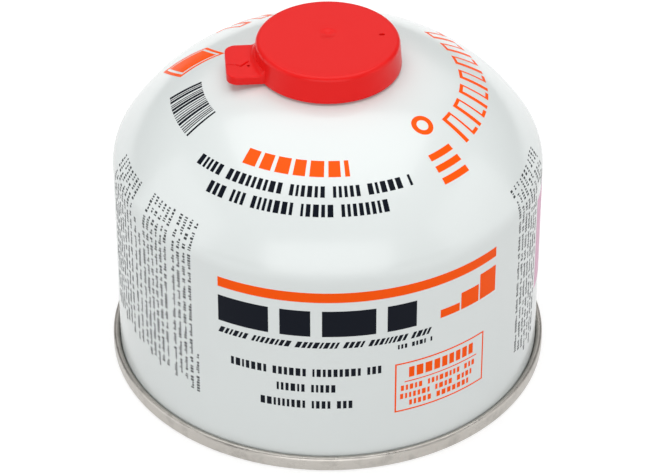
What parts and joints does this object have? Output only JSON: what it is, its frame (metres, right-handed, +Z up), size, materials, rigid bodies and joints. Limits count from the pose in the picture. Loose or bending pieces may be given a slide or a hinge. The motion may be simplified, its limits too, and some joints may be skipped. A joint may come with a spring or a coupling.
{
  "type": "screw-valve gas cartridge",
  "caption": "Low domed steel gas cartridge for a camping stove, with a seamed dished base, a screw valve in a crimped cup and a push-on red cap with a pull tab.",
  "frame": {"origin": "centre of the seam's lower ring, in the plane that the cartridge stands on", "axes": "+Z up along the can's axis, -Y the printed front that the picture shows, -X the side that the cap's tab points to"},
  "size_m": [0.11, 0.11, 0.0904],
  "materials": {
    "white_lacquer": "glossy white lacquer with simple printed bars and fields",
    "tinplate": "bare satin tinplate, warm grey, lightly scuffed",
    "cup_steel": "bright drawn tinplate",
    "black_rubber": "matte black rubber",
    "pale_nylon": "moulded pale nylon",
    "spring_steel": "drawn spring wire",
    "red_plastic": "glossy, slightly translucent red polyethylene"
  },
  "bodies": {
    "canister": {"can_body": "white_lacquer", "base_end": "tinplate", "mounting_cup": "cup_steel", "cup_gasket": "black_rubber", "stem_gasket": "black_rubber", "valve_housing": "pale_nylon", "valve_spring": "spring_steel"},
    "cap": {"cap": "red_plastic"},
    "stem": {"valve_stem": "pale_nylon"}
  },
  "joints": [
    {"name": "cap_lift", "type": "slide", "parent": "canister", "child": "cap", "axis": [0, 0, 1], "range_m": [0, 0.025]},
    {"name": "stem_press", "type": "slide", "parent": "canister", "child": "stem", "axis": [0, 0, -1], "range_m": [0, 0.0018], "stiffness_N_per_m": 2000, "deforming": ["valve_spring"]}
  ]
}
